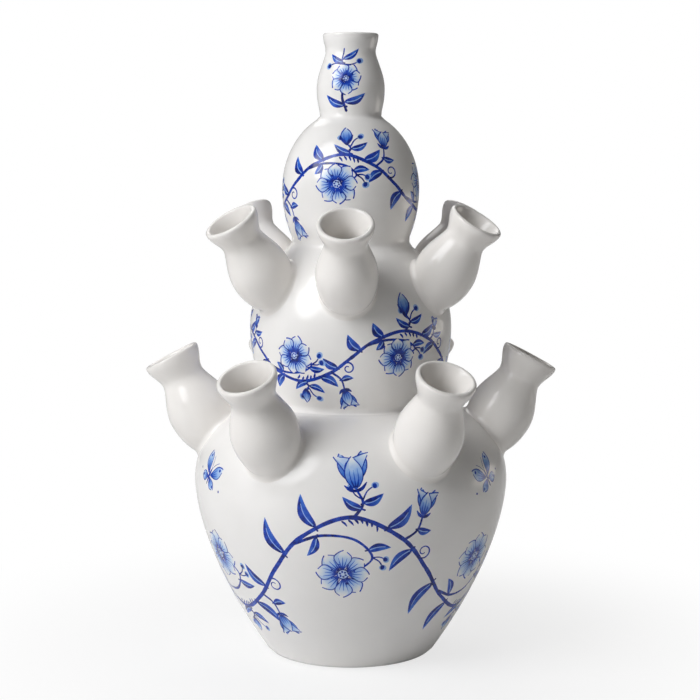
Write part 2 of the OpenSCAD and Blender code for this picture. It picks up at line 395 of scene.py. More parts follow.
class Brush:
    """Paints on one wall. A sprig has its own origin there, and may be mirrored or hung upside down."""

    def __init__(self, wall, seed):
        self.wall = wall
        self.width = math.tau * wall.widest
        self.shapes = []
        self.hand = random.Random(seed)

    def start_sprig(self, turn, height, mirrored=False, hanging=False):
        self.turn = math.radians((turn + 180) % 360 - 180)
        self.base = self.wall.at_height(height)
        self.side = -1.0 if mirrored else 1.0
        self.rise = -1.0 if hanging else 1.0
        self.anchor = None

    def unrolled(self, points):
        """Places of points on the unrolled wall; a motif keeps its true width around its anchor."""
        points = np.asarray(points, dtype=complex)
        anchor = points if self.anchor is None else self.anchor
        up = points.imag * self.rise
        own = (points - anchor).real * self.side / self.wall.radius(self.base + up)
        turn = self.turn + np.real(anchor) * self.side / self.wall.radius(self.base) + own
        return np.stack([(turn + math.pi) * self.wall.widest, self.base + up], axis=1)

    def fill(self, outline, start, end, ink_start, ink_end, covers=False):
        """Closed shape whose ink changes evenly from the point start to the point end."""
        outline = self.unrolled(outline)
        ends = self.unrolled([start, end])
        for shift in (-self.width, 0.0, self.width):
            if outline[:, 0].max() + shift > 0 and outline[:, 0].min() + shift < self.width:
                move = (shift, 0.0)
                self.shapes.append((outline + move, *(ends + move), ink_start, ink_end, covers))

    def stroke(self, points, width_start, width_end, ink_start=1.0, ink_end=0.9, swell=0.0, covers=False):
        """Brush line with rounded ends; swell makes its middle wider."""
        line = smooth_line(points)
        part = np.linspace(0, 1, len(line))
        half = (width_start + (width_end - width_start) * part) / 2 + swell * np.sin(math.pi * part) / 2
        wobble = np.array([self.hand.uniform(*WOBBLE) for _ in line])
        wobble = np.convolve(np.pad(wobble, 1, mode="edge"), [0.25, 0.5, 0.25], mode="valid")
        along = np.gradient(line)
        along /= np.abs(along)
        side = 1j * along * half * wobble
        head = line[0] - along[0] * half[0] * ROUND_END
        tip = line[-1] + along[-1] * half[-1] * ROUND_END
        outline = np.concatenate([[head], line - side, [tip], (line + side)[::-1]])
        self.fill(outline, line[0], line[-1], ink_start, ink_end, covers)

    def stem(self, points, width_start, width_end, ink_start=1.0, ink_end=0.9):
        """Line of the vine itself."""
        self.anchor = None
        self.stroke(points, width_start, width_end, ink_start, ink_end)

    def dot(self, centre, radius, ink=1.0, covers=False):
        turns = np.linspace(0, math.tau, DOT_STEPS, endpoint=False)
        reach = radius * (1 + 0.1 * np.sin(2 * turns + self.hand.uniform(0, 6)))
        outline = centre + reach * np.exp(1j * turns)
        self.fill(outline, centre - radius, centre + radius, ink, ink * 0.9, covers)

    def petal_edges(self, base, tip, width, fullness, bend):
        """Both edges and the middle of a petal or leaf; fullness over 1 puts its widest part near the tip."""
        part = np.linspace(0, 1, PETAL_STEPS + 1)
        half = width / 2 * np.sin(math.pi * part ** fullness) ** 0.85
        reach = tip - base
        spine = base + reach * (part + 1j * bend * np.sin(math.pi * part))
        side = 1j * reach / abs(reach) * half
        return spine - side, spine + side, spine

    def petal(self, base, tip, width, fullness, bend, wash, line=0.55, veins=3, reach=VEIN_REACH):
        """Pale petal with a darker fold along one side, veins from its foot, and drawn edges."""
        right, left, spine = self.petal_edges(base, tip, width, fullness, bend)
        self.fill(np.concatenate([right, left[::-1][1:-1]]), base, tip, *wash, covers=True)
        fold = spine[2:-1] + 0.55 * (left[2:-1] - spine[2:-1])
        self.fill(np.concatenate([fold, left[2:-1][::-1]]), base, tip, wash[0] * 0.9, wash[1] + 0.14)
        for k in range(veins):
            aside = (k - (veins - 1) / 2) * 0.85 / max(veins - 1, 1)
            path = [spine[row] + aside * (left[row] - spine[row]) * 1.1 for row in (1, 4, 7)]
            path[2] = path[1] + (path[2] - path[1]) * (reach / VEIN_REACH) * self.hand.uniform(0.7, 1.1)
            self.stroke(path, line * 1.7, line * 0.6, 1.0, 0.5)
        self.stroke(right[1:-1:2], line, line * 1.1, 0.95, 0.85)
        self.stroke(np.concatenate([left[1:-1:2], [tip]]), line, line * 1.3, 0.95, 0.88)

    def leaf(self, base, tip, width, bend):
        """Dark leaf with a darker half, a pale vein and a short stalk."""
        self.anchor = base
        right, left, spine = self.petal_edges(base, tip, width, 0.78, bend)
        self.fill(np.concatenate([right, left[::-1][1:-1]]), base, tip, *LEAF_INK, covers=True)
        shade = np.concatenate([spine[1:-1], left[1:-1][::-1]])
        self.fill(shade, base, tip, 1.0, LEAF_INK[1] + 0.3)
        self.stroke(spine[1:-2:2], 0.6, 0.3, 0.42, 0.3, covers=True)
        self.stroke([base - (tip - base) * 0.1, spine[1]], 1.0, 0.9)

    def rosette(self, centre, radius, count, turn):
        """Open round flower seen from the front."""
        self.anchor = centre
        for k in list(range(0, count, 2)) + list(range(1, count, 2)):
            angle = turn + math.tau * k / count + self.hand.uniform(-0.06, 0.06)
            way = complex(math.cos(angle), math.sin(angle))
            reach = radius * self.hand.uniform(0.92, 1.05)
            root, end = centre + way * radius * 0.16, centre + way * reach
            bend = self.hand.uniform(-0.04, 0.04)
            self.petal(root, end, 5.2 * radius / count, 1.5, bend, wash=(0.55, 0.0), reach=0.75)
        self.dot(centre, radius * 0.21, 0.25, covers=True)
        ring = centre + radius * 0.21 * np.exp(1j * np.linspace(0, 5.9, 12))
        self.stroke(ring, 0.8, 0.8)
        for k in range(6):
            self.dot(centre + radius * 0.11 * np.exp(1j * (k * math.pi / 3 + turn)), radius * 0.045)
        for k in range(count):
            way = np.exp(1j * (turn + math.tau * (k + 0.5) / count))
            self.stroke([centre + way * radius * 0.24, centre + way * radius * 0.4], 0.5, 0.4)
            self.dot(centre + way * radius * 0.44, 0.6)

    def tulip(self, base, way, size):
        """Cup-shaped flower seen from the side, on the end of a stem."""
        self.anchor = base
        arm = way / abs(way) * size

        def spot(across, up):
            return base + arm * complex(up, -across)

        for across in (-0.2, 0.2):
            foot, tip = spot(across * 0.6, 0.2), spot(across * 1.5, 1.02)
            self.petal(foot, tip, size * 0.34, 1.0, 0.0, wash=(0.8, 0.3))
        for side in (-1, 1):
            foot, tip = spot(0.03 * side, 0.0), spot(0.46 * side, 0.95)
            self.petal(foot, tip, size * 0.46, 0.95, 0.24 * side, wash=(0.8, 0.08), veins=2, reach=0.7)
        self.petal(spot(0.0, -0.02), spot(0.0, 0.9), size * 0.48, 0.9, 0.0, wash=(0.75, 0.03), reach=0.7)
        for side in (-1, 1):
            self.stroke([spot(0, -0.05), spot(0.16 * side, 0.0), spot(0.3 * side, 0.14)], 1.3, 0.5, swell=0.9)

    def bud(self, base, way, size):
        self.anchor = base
        arm = way / abs(way) * size
        self.petal(base, base + arm, size * 0.56, 0.85, 0.0, wash=(0.85, 0.1), veins=2, reach=0.8)
        for side in (-1, 1):
            sepal = [base + arm * place for place in (-0.06, 0.22 + 0.2j * side, 0.5 + 0.32j * side)]
            self.stroke(sepal, 1.1, 0.4, swell=0.8)

    def berries(self, start, ends):
        self.anchor = start
        for end in ends:
            self.stroke([start, (start + end) / 2 + 0.12j * (end - start), end], 0.9, 0.7)
            self.dot(end, 1.9, 0.4, covers=True)
            self.dot(end - 0.35 * (end - start) / abs(end - start), 1.3)

    def commas(self, points, length, side):
        """Row of small tapering touches along a line."""
        self.anchor = None
        line = smooth_line(points, COMMA_STEP)
        way = np.gradient(line)
        for k in range(1, len(line) - 1):
            out = way[k] / abs(way[k]) * complex(0.5, 0.86 * side)
            start = line[k] + out * 1.5
            reach = length * self.hand.uniform(0.6, 1.15)
            bend = start + out * reach * 0.5 + way[k] * 0.1
            self.stroke([start, bend, start + out * reach], 0.9, 0.35, swell=0.5)

    def tendril(self, base, way, radius):
        """Thin shoot that winds into itself."""
        self.anchor = base
        turns = 1.2
        part = np.linspace(0, 1, 10)
        curl = 1 - (1 - 0.75 * part) * np.exp(2j * math.pi * turns * part)
        self.stroke(base + way / abs(way) * radius * curl, 1.0, 0.55)

    def butterfly(self, centre, way, size):
        self.anchor = centre
        arm = way / abs(way) * size
        for side in (-1, 1):
            for tip, width in ((0.85 + 0.75j * side, 0.5), (-0.3 + 0.62j * side, 0.42)):
                root, end = centre + arm * 0.06 * tip, centre + arm * tip
                self.petal(root, end, size * width, 1.35, 0.06 * side, (0.75, 0.12), line=0.5, reach=0.75)
                self.dot(centre + arm * tip * 0.8, size * 0.07, 0.9)
            feeler = [centre + arm * place for place in (0.3, 0.62 + 0.12j * side, 0.85 + 0.3j * side)]
            self.stroke(feeler, 0.4, 0.3)
        self.stroke([centre - arm * 0.42, centre, centre + arm * 0.34], 0.5, 0.9, swell=0.9)


def vine_arch(brush, span, rise, flower, outer, scale, side=1.0):
    """One arch of a scrolling vine: a flower on a winding shoot inside it, and a shoot on its outer side.

    flower is the open flower's radius, outer the outer shoot's length, and side the size of the small flower.
    """

    def at(across, up):
        return complex(across * span, up * rise)

    def off(across, up):
        return complex(across, up) * scale

    arch = [at(0, 0), at(0.2, 0.62), at(0.5, 1), at(0.8, 0.62), at(1, 0)]
    brush.stem(arch, 2.3 * scale, 2.3 * scale, 0.92, 0.92)
    winding = [at(0.16, 0.51), at(0.33, 0.68), at(0.52, 0.62), at(0.63, 0.3), at(0.55, 0.05)]
    brush.stem(winding, 1.8 * scale, 1.1 * scale)
    for foot, tip, width, bow in (
        (at(0.09, 0.3), at(-0.03, 0.92), 6.8, 0.16),
        (at(0.3, 0.81), at(0.2, 1.36), 6.4, 0.14),
        (at(0.71, 0.8), at(0.87, 1.18), 6.4, -0.14),
        (at(0.88, 0.4), at(0.74, 0.02), 5.6, -0.12),
        (at(0.6, 0.42), at(0.75, 0.46), 4.8, 0.1),
        (at(0.3, 0.66), at(0.23, 0.3), 4.8, 0.12),
    ):
        brush.leaf(foot, tip, width * scale, bow)
    brush.commas([at(0.4, 0.95), at(0.55, 1.0), at(0.68, 0.86)], 3.4 * scale, -1)
    brush.tendril(at(0.93, 0.22), at(0.12, 0.5), 4.6 * scale)
    brush.rosette(at(0.45, -0.02), flower, 8, brush.hand.uniform(0, 1))
    stalk = at(0.82, 0.58)
    side_flower = stalk + off(9.0, 13.0) * side
    brush.stem([stalk, stalk + off(6.5, 5.0) * side, side_flower], 1.6 * scale, 1.1 * scale)
    brush.leaf(stalk + off(6.5, 5.5) * side, stalk + off(15.0, 4.0), 4.4 * scale, -0.12)
    brush.tulip(side_flower, 0.25 + 1j, 14.0 * scale * side)
    bend = at(0.63, 0.29)
    brush.berries(bend, [bend + off(7.5, -1.5), bend + off(6.0, -6.5)])
    shoot = at(0.52, 1.0)
    top = shoot + complex(1.0, outer)
    waist = shoot + complex(4.2 * scale, outer * 0.5)
    brush.stem([shoot, waist, top], 1.7 * scale, 1.1 * scale)
    brush.leaf(waist, waist + off(11.0, 5.0), 4.8 * scale, -0.12)
    brush.leaf(waist - off(0.0, 3.0), waist + off(-11.0, 3.5), 4.8 * scale, 0.12)
    brush.berries(waist + off(0.0, 2.0), [waist + off(-6.5, 8.5), waist + off(6.5, 9.5)])
    return top


def vine_band(brush, height, first_turn, arches):
    """Starts each arch of a band in turn, every second one hanging; gives its span and whether it hangs."""
    pitch = 360 / arches
    span = math.radians(pitch) * brush.wall.radius(brush.wall.at_height(height))
    for k in range(arches):
        hanging = k % 2 == 1
        brush.start_sprig(first_turn + pitch * k, height, hanging=hanging)
        yield span, hanging


def paint_belly():
    brush = Brush(belly, seed=11)
    for span, hanging in vine_band(brush, height=63.0, first_turn=-30, arches=6):
        top = vine_arch(brush, span, rise=33.0, flower=14.5, outer=8.0 if hanging else 15.0, scale=1.0)
        if hanging:
            brush.bud(top, -0.1 + 1j, 10.0)
        else:
            brush.tulip(top, -0.15 + 1j, 20.0)
    for k, turn in enumerate((-62, 58, 178)):
        brush.start_sprig(turn, height=108, mirrored=k == 1)
        brush.butterfly(0, 0.5 + 1j, 13.0)
        brush.dot(12 - 7j, 0.7)
        brush.dot(-12 + 3j, 0.6)
    return brush.shapes


def paint_middle():
    brush = Brush(middle, seed=23)
    for span, hanging in vine_band(brush, height=175.0, first_turn=0, arches=6):
        outer, side, bud = (5.0, 1.0, 8.0) if hanging else (9.0, 0.55, 12.0)
        top = vine_arch(brush, span, rise=14.0, flower=10.8, outer=outer, scale=0.8, side=side)
        brush.bud(top, -0.1 + 1j, bud)
    return brush.shapes


def paint_upper():
    brush = Brush(upper, seed=37)
    for span, _ in vine_band(brush, height=268.0, first_turn=-52, arches=4):
        top = vine_arch(brush, span, rise=16.0, flower=11.8, outer=6.5, scale=0.84)
        brush.bud(top, -0.1 + 1j, 11.0)
    return brush.shapes


def paint_nozzle():
    """Three small sprigs, each a rosette between leaves."""
    brush = Brush(nozzle, seed=41)
    for k, turn in enumerate((-128, -8, 112)):
        brush.start_sprig(turn, height=307, mirrored=k == 1)
        brush.stem([0, 2 + 8j, 16j, 3 + 26j, 2 + 35j], 1.6, 0.9)
        brush.leaf(0.6 + 3j, 12 + 9j, 4.4, -0.12)
        brush.leaf(1 + 5j, -11 + 10j, 4.4, 0.12)
        brush.leaf(2 + 27j, 10 + 32j, 3.6, -0.1)
        brush.leaf(2.6 + 29j, -6 + 35j, 3.6, 0.1)
        brush.berries(2 + 26j, [-7 + 28j, 11 + 25j])
        brush.rosette(18j, 9.0, 7, 0.3)
    return brush.shapes


# Meshes

def mesh_from(bm, name):
    """Ends a mesh in the making, and gives it under a name."""
    mesh = bpy.data.meshes.new(name)
    bm.to_mesh(mesh)
    bm.free()
    return mesh


def add_object(name, data):
    thing = bpy.data.objects.new(name, data)
    bpy.context.scene.collection.objects.link(thing)
    return thing


def add_piece(mesh, finish):
    """Piece with smooth faces, named as its mesh is."""
    mesh.polygons.foreach_set("use_smooth", np.ones(len(mesh.polygons), dtype=bool))
    mesh.materials.append(finish)
    return add_object(mesh.name, mesh)


def inside_outline(outline, spots):
    """Which of the spots lie inside a closed outline."""
    x, y = spots[:, 0, None], spots[:, 1, None]
    x0, y0 = outline[:, 0], outline[:, 1]
    x1, y1 = np.roll(x0, -1), np.roll(y0, -1)
    rising = (y0 <= y) != (y1 <= y)
    cross = x0 + (y - y0) * (x1 - x0) / np.where(y1 == y0, TINY, y1 - y0)
    return ((x < cross) & rising).sum(axis=1) % 2 == 1


def spout_holes(ring):
    """Outlines, on the unrolled wall, of the holes under a ring's spouts."""
    depths = np.linspace(-ring.bulb_depth, -ring.bulb_depth - ring.tail - HOLE_REACH, HOLE_STEPS)
    line = np.stack([np.full(HOLE_STEPS, ring.passage), depths], axis=1)
    angles = np.linspace(0, math.tau, HOLE_COLUMNS, endpoint=False)
    columns = [Column(ring, line, angle) for angle in angles]
    edge = np.array([column.at(column.mark(0.0)) for column in columns])
    up = ring.wall.at_height(edge[:, 2])
    width = math.tau * ring.wall.widest
    holes = []
    for turn in ring.turns:
        around = np.arctan2(edge[:, 0], -edge[:, 1]) + math.radians((turn + 180) % 360)
        outline = np.stack([around * ring.wall.widest, up], axis=1)
        holes += [outline + (shift, 0) for shift in (-width, 0, width)]
    return [h for h in holes if h[:, 0].max() > 0 and h[:, 0].min() < width]


def skin_cuts(wall, width, outlines):
    """Spots and edges that a wall's skin is cut along: a grid with its border, and closed outlines."""
    rows = int(round(wall.length / SKIN_ROW))
    around = np.linspace(0, width, SKIN_COLUMNS + 1)
    up = np.linspace(0, wall.length, rows + 1)
    spots = [(u, v) for u in around for v in up]
    edges = []
    column = rows + 1
    for k in range(SKIN_COLUMNS):
        edges.append((k * column, (k + 1) * column))
        edges.append((k * column + rows, (k + 1) * column + rows))
    last = SKIN_COLUMNS * column
    for k in range(rows):
        edges.append((k, k + 1))
        edges.append((last + k, last + k + 1))
    for outline in outlines:
        first, count = len(spots), len(outline)
        spots.extend(map(tuple, outline))
        edges.extend((first + k, first + (k + 1) % count) for k in range(count))
    return spots, edges


def laid_ink(shapes, corners, middles):
    """Ink at the corners of faces that are sorted from left to right, with the shapes laid on in turn."""
    ink = np.zeros(corners.shape[:2])
    for outline, start, end, ink_start, ink_end, covers in shapes:
        first, last = np.searchsorted(middles[:, 0], [outline[:, 0].min(), outline[:, 0].max()])
        near = first + inside_outline(outline, middles[first:last]).nonzero()[0]
        reach = end - start
        part = np.clip(((corners[near] - start) @ reach) / (reach @ reach), 0, 1)
        laid = ink_start + (ink_end - ink_start) * part
        ink[near] = laid if covers else np.maximum(ink[near], laid)
    return ink


def wall_skin(wall, shapes, holes=()):
    """Mesh of a wall's outside, cut along every painted outline, with the ink as an attribute."""
    width = math.tau * wall.widest
    spots, edges = skin_cuts(wall, width, [shape[0] for shape in shapes] + list(holes))
    spots, _, faces, _, _, _ = delaunay_2d_cdt([Vector(s) for s in spots], edges, [], 0, CUT_SLACK, False)
    spots = np.array([tuple(s) for s in spots])
    faces = np.array(faces)
    middles = spots[faces].mean(axis=1)
    keep = ((middles > 0) & (middles < (width, wall.length))).all(axis=1)
    for outline in holes:
        keep &= ~inside_outline(outline, middles)
    order = np.nonzero(keep)[0]
    order = order[np.argsort(middles[order, 0])]
    faces, middles = faces[order], middles[order]
    corners = spots[faces]
    ink = laid_ink(shapes, corners, middles)
    turn = spots[:, 0] / wall.widest - math.pi
    radius = wall.radius(spots[:, 1])
    places = np.stack([radius * np.sin(turn), -radius * np.cos(turn), wall.height(spots[:, 1])], axis=1) * MM
    mesh = bpy.data.meshes.new("skin")
    mesh.from_pydata(places.tolist(), [], faces.tolist())
    mesh.attributes.new("ink", "FLOAT", "CORNER").data.foreach_set("value", ink.ravel().astype(np.float32))
    outside = mesh.attributes.new("outside", "INT", "FACE")
    outside.data.foreach_set("value", np.ones(len(faces), dtype=np.int32))
    chart = corners / (width, wall.length) * (1, PAINTED_SHARE)
    mesh.uv_layers.new(name="OFBake").data.foreach_set("uv", chart.ravel().astype(np.float32))
    bm = bmesh.new()
    bm.from_mesh(mesh)
    bpy.data.meshes.remove(mesh)
    bmesh.ops.delete(bm, geom=[vert for vert in bm.verts if not vert.link_faces], context="VERTS")
    return bm


def spin(bm, geom, steps):
    """Turns a line once round the upright axis."""
    bmesh.ops.spin(bm, geom=geom, cent=(0, 0, 0), axis=(0, 0, 1), angle=math.tau, steps=steps, use_merge=True)


def spin_outline(bm, outline):
    """Adds a turned surface to a mesh, from an outline that lies at the back of the vase."""
    turned = bmesh.new()
    verts = [turned.verts.new((0, r * MM, z * MM)) for r, z in outline]
    edges = [turned.edges.new(pair) for pair in zip(verts, verts[1:])]
    spin(turned, verts + edges, SKIN_COLUMNS)
    mesh = mesh_from(turned, "turned")
    bm.from_mesh(mesh)
    bpy.data.meshes.remove(mesh)


def weld(bm):
    bmesh.ops.remove_doubles(bm, verts=bm.verts, dist=WELD_GAP * MM)
    bmesh.ops.recalc_face_normals(bm, faces=bm.faces)


def places_of(verts):
    return np.array([vert.co[:] for vert in verts]) / MM


def thicken(bm, wall):
    """Gives a skin its thickness, inwards and square to the wall, or straight up under a foot."""
    number = bm.verts.layers.int.new("number")
    outside = bm.faces.layers.int["outside"]
    skin_verts, skin_faces = bm.verts[:], set(bm.faces)
    for k, vert in enumerate(skin_verts):
        vert[number] = k
    places = places_of(skin_verts)
    gaps, out = wall.gap_to(places)
    out[np.abs(gaps) > ON_WALL] = (0, 0, -1)
    inner = (places - BODY_WALL * out) * MM
    bmesh.ops.solidify(bm, geom=bm.faces[:], thickness=BODY_WALL * MM)
    skin = set(skin_verts)
    for vert in bm.verts:
        if vert not in skin:
            vert.co = inner[vert[number]]
    for face in bm.faces:
        if face not in skin_faces:
            face[outside] = 0


def values_of(data, name, count, kind):
    values = np.empty(count, dtype=kind)
    data.foreach_get(name, values)
    return values


def section_piece(bm, name, wall, finish):
    """Piece from the mesh of a painted section, with normals of the true curve on its outside."""
    mesh = mesh_from(bm, name)
    loops = values_of(mesh.loops, "vertex_index", len(mesh.loops), np.int32)
    counts = values_of(mesh.polygons, "loop_total", len(mesh.polygons), np.int32)
    outside = values_of(mesh.attributes["outside"].data, "value", len(mesh.polygons), np.int32)
    outside = np.repeat(outside, counts) == 1
    places = places_of(mesh.vertices)
    normals = np.where(outside[:, None], wall.gap_to(places)[1][loops], 0.0)
    inks, charts = mesh.attributes["ink"].data, mesh.uv_layers["OFBake"].data
    ink = values_of(inks, "value", len(loops), np.float32)
    ink[~outside] = 0.0
    inks.foreach_set("value", ink)
    chart = values_of(charts, "uv", len(loops) * 2, np.float32).reshape(-1, 2)
    rise = np.ptp(places[:, 2])
    plain = places[loops][~outside]
    chart[~outside, 0] = np.arctan2(plain[:, 0], -plain[:, 1]) / math.tau + 0.5
    chart[~outside, 1] = PLAIN_START + PLAIN_SHARE * (plain[:, 2] - places[:, 2].min()) / rise
    charts.foreach_set("uv", chart.ravel())
    piece = add_piece(mesh, finish)
    mesh.normals_split_custom_set(normals.tolist())
    return piece


def belly_piece(finish):
    bm = wall_skin(belly, paint_belly(), spout_holes(lower_ring))
    inner = FOOT_RADIUS - FOOT_RING
    spin_outline(bm, [(FOOT_RADIUS, 0), (inner, 0), (inner - HOLLOW_DRAFT, FOOT_HOLLOW), (0, FOOT_HOLLOW)])
    weld(bm)
    thicken(bm, belly)
    return section_piece(bm, "painted_belly", belly, finish)


def middle_piece(finish):
    bm = wall_skin(middle, paint_middle(), spout_holes(middle_ring))
    weld(bm)
    thicken(bm, middle)
    return section_piece(bm, "painted_middle_globe", middle, finish)


def upper_piece(finish):
    bm = wall_skin(upper, paint_upper())
    weld(bm)
    thicken(bm, upper)
    return section_piece(bm, "painted_upper_globe", upper, finish)


def nozzle_piece(finish):
    bm = wall_skin(nozzle, paint_nozzle())
    seat = nozzle.points[0]
    bore = (NOZZLE_FOOT - MOUTH_WALL, seat[1])
    inner_bulb = dome(bore, (NOZZLE_BULB - MOUTH_WALL, NOZZLE_MIDDLE[1]))
    rim = nozzle_outside[:ARC_STEPS + 1][::-1]
    spin_outline(bm, joined(rim, nozzle_inside, inner_bulb[::-1], np.array([bore, seat])))
    weld(bm)
    return section_piece(bm, "painted_top_nozzle", nozzle, finish)


def tail_line(ring, side):
    """One side of a spout's tail, from its widest ring to its axis."""
    wall = side * MOUTH_WALL
    turns = np.linspace(0, math.pi / 2, TAIL_STEPS)
    radius = (ring.bulb - wall) * np.cos(turns)
    height = -ring.bulb_depth - (ring.tail - wall) * np.sin(turns)
    return np.stack([radius, height], axis=1)


def root_places(ring, column):
    """Places on a spout's soft root: a quarter round from its tail onto and just into the wall."""
    places = []
    for k in range(1, ROOT_ROWS + 1):
        sweep = math.pi / 2 * k / ROOT_ROWS
        gap = ROOT_ROUND * (1 - math.sin(sweep)) - ROOT_SINK * k / ROOT_ROWS
        place = column.at(column.mark(gap))
        normal = ring.wall.gap_to(place[None])[1][0]
        along = column.way - normal * (column.way @ normal)
        place = place + along / np.linalg.norm(along) * ROOT_ROUND * (1 - math.cos(sweep))
        now, normal = ring.wall.gap_to(place[None])
        places.append(place + normal[0] * (gap - now[0]))
    return places


def tail_places(ring):
    """Places down the inside of a spout's tail, over its root and up its outside, for each column."""
    outer_line, inner_line = tail_line(ring, OUTSIDE), tail_line(ring, INSIDE)
    tails = []
    for k in range(SPOUT_COLUMNS):
        angle = math.tau * k / SPOUT_COLUMNS
        outer, inner = Column(ring, outer_line, angle), Column(ring, inner_line, angle)
        inner_end, outer_end = inner.mark(-ROOT_SINK), outer.mark(ROOT_ROUND)
        places = [inner.at(inner_end * row / TAIL_ROWS) for row in range(1, TAIL_ROWS + 1)]
        places += root_places(ring, outer)[::-1]
        places += [outer.at(outer_end * row / TAIL_ROWS) for row in range(TAIL_ROWS, 0, -1)]
        tails.append(places)
    return tails


def spout_mesh(ring):
    """Spout on the front of the vase: turned upright, then leaned, with its tail drawn down onto the wall."""
    outside = mouth_face(OUTSIDE, *ring.mouth)[::2]
    inside = mouth_face(INSIDE, *ring.mouth)[::2]
    own_rows = list(outside[::-1]) + list(inside[1:])
    tail_start = len(own_rows)
    total = tail_start + 2 * TAIL_ROWS + ROOT_ROWS
    # The tail's rows wait below the bulb until each is set in its place
    waiting_rows = [(ring.bulb, -ring.bulb_depth - 1.0 - 0.1 * k) for k in range(tail_start, total)]
    bm = bmesh.new()
    row_layer = bm.verts.layers.int.new("row")
    verts = []
    for k, (radius, height) in enumerate(own_rows + waiting_rows):
        verts.append(bm.verts.new((radius, 0, height)))
        verts[-1][row_layer] = k
    edges = [bm.edges.new((verts[k], verts[k - 1])) for k in range(total)]
    spin(bm, verts + edges, SPOUT_COLUMNS)
    bmesh.ops.remove_doubles(bm, verts=bm.verts, dist=SEAM_GAP)
    tails = tail_places(ring)
    seat = Matrix(ring.seat.tolist())
    for vert in bm.verts:
        row = vert[row_layer]
        if row < tail_start:
            vert.co = seat @ vert.co
        else:
            k = round(math.atan2(vert.co.y, vert.co.x) / math.tau * SPOUT_COLUMNS) % SPOUT_COLUMNS
            vert.co = tails[k][row - tail_start]
    bmesh.ops.scale(bm, vec=(MM, MM, MM), verts=bm.verts)
    bmesh.ops.recalc_face_normals(bm, faces=bm.faces)
    # Both edges of the narrow face that lies in the wall stay sharp
    sharp_rows = {tail_start + TAIL_ROWS - 1, tail_start + TAIL_ROWS}
    for edge in bm.edges:
        rows = {vert[row_layer] for vert in edge.verts}
        if len(rows) == 1 and rows <= sharp_rows:
            edge.smooth = False
    return bm


def spout_pieces(ring, label, finish):
    """The ring's six spouts, each a turned copy of the one on the front."""
    first = spout_mesh(ring)
    for k, turn in enumerate(ring.turns):
        bm = first.copy()
        around = Matrix.Rotation(math.radians(turn), 3, "Z")
        bmesh.ops.rotate(bm, verts=bm.verts, cent=(0, 0, 0), matrix=around)
        piece = add_piece(mesh_from(bm, f"glazed_{label}_spout_{k + 1}"), finish)
        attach(piece, "root")
        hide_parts(f"{label}_spout_{k + 1}")
    first.free()


# Finishes

# Darkest and lightest white of the plain and of the painted porcelain
PLAIN_WHITES = ((0.9, 0.87, 0.834, 1), (0.935, 0.906, 0.872, 1))
PAINTED_WHITES = ((0.9, 0.882, 0.858, 1), (0.935, 0.918, 0.897, 1))

# Colours of the cobalt, from thin ink to thick, and the ink from which it hides the white
COBALT = (
    (0.0, (0.83, 0.86, 0.9, 1)),
    (0.15, (0.67, 0.77, 0.9, 1)),
    (0.35, (0.29, 0.48, 0.84, 1)),
    (0.6, (0.04, 0.165, 0.66, 1)),
    (0.85, (0.004, 0.045, 0.45, 1)),
    (1.0, (0.001, 0.010, 0.15, 1)),
)
HIDING_INK = 0.16

# Scale of the glaze's ripples along the axes: drawn out along the turning, or even
TURNED_RIPPLE = (0.25, 0.25, 1.3)
EVEN_RIPPLE = (1.0, 1.0, 1.0)


def new_node(tree, kind, numbers=None, **settings):
    """Node with its settings, and numbers for its inputs by their names."""
    node = tree.nodes.new(kind)
    for key, value in settings.items():
        setattr(node, key, value)
    for key, value in (numbers or {}).items():
        node.inputs[key].default_value = value
    return node


def maths(tree, operation, first, second, **settings):
    """Result of a sum on two inputs, each a socket or a number."""
    node = new_node(tree, "ShaderNodeMath", operation=operation, **settings)
    for socket, value in zip(node.inputs, (first, second)):
        if isinstance(value, float):
            socket.default_value = value
        else:
            tree.links.new(value, socket)
    return node.outputs["Value"]


def noise(tree, place, scale, detail):
    node = new_node(tree, "ShaderNodeTexNoise", {"Scale": scale, "Detail": detail})
    tree.links.new(place, node.inputs["Vector"])
    return node.outputs["Fac"]


def stretched(tree, value, numbers, **settings):
    """Value moved from one range of numbers to another."""
    node = new_node(tree, "ShaderNodeMapRange", numbers, **settings)
    tree.links.new(value, node.inputs["Value"])
    return node.outputs["Result"]


def colour_ramp(tree, value, stops):
    """Colour for a value, from colours at rising positions."""
    ramp = new_node(tree, "ShaderNodeValToRGB")
    elements = ramp.color_ramp.elements
    for position, colour in stops[1:-1]:
        elements.new(position).color = colour
    for element, (position, colour) in ((elements[0], stops[0]), (elements[-1], stops[-1])):
        element.position = position
        element.color = colour
    tree.links.new(value, ramp.inputs["Fac"])
    return ramp.outputs["Color"]


def glaze_ripple(tree, place, drawn_out):
    """Slight unevenness of a glazed surface."""
    mapping = new_node(tree, "ShaderNodeMapping", {"Scale": drawn_out})
    tree.links.new(place, mapping.inputs["Vector"])
    bump = new_node(tree, "ShaderNodeBump", {"Strength": 0.06, "Distance": 0.0006})
    tree.links.new(noise(tree, mapping.outputs["Vector"], scale=95.0, detail=1.0), bump.inputs["Height"])
    return bump.outputs["Normal"]


def cobalt_decor(tree, place, white):
    """Cobalt where there is ink, a little uneven as a brush leaves it, over the white."""
    ink = new_node(tree, "ShaderNodeAttribute", attribute_name="ink").outputs["Fac"]
    marks = noise(tree, place, scale=330.0, detail=2.5)
    uneven = stretched(tree, marks, {"From Min": 0.3, "From Max": 0.7, "To Min": 0.84, "To Max": 1.08})
    density = maths(tree, "MULTIPLY", ink, uneven, use_clamp=True)
    mix = new_node(tree, "ShaderNodeMix", data_type="RGBA")
    tree.links.new(stretched(tree, density, {"From Max": HIDING_INK}), mix.inputs["Factor"])
    tree.links.new(white, mix.inputs["A"])
    tree.links.new(colour_ramp(tree, density, COBALT), mix.inputs["B"])
    return mix.outputs["Result"]


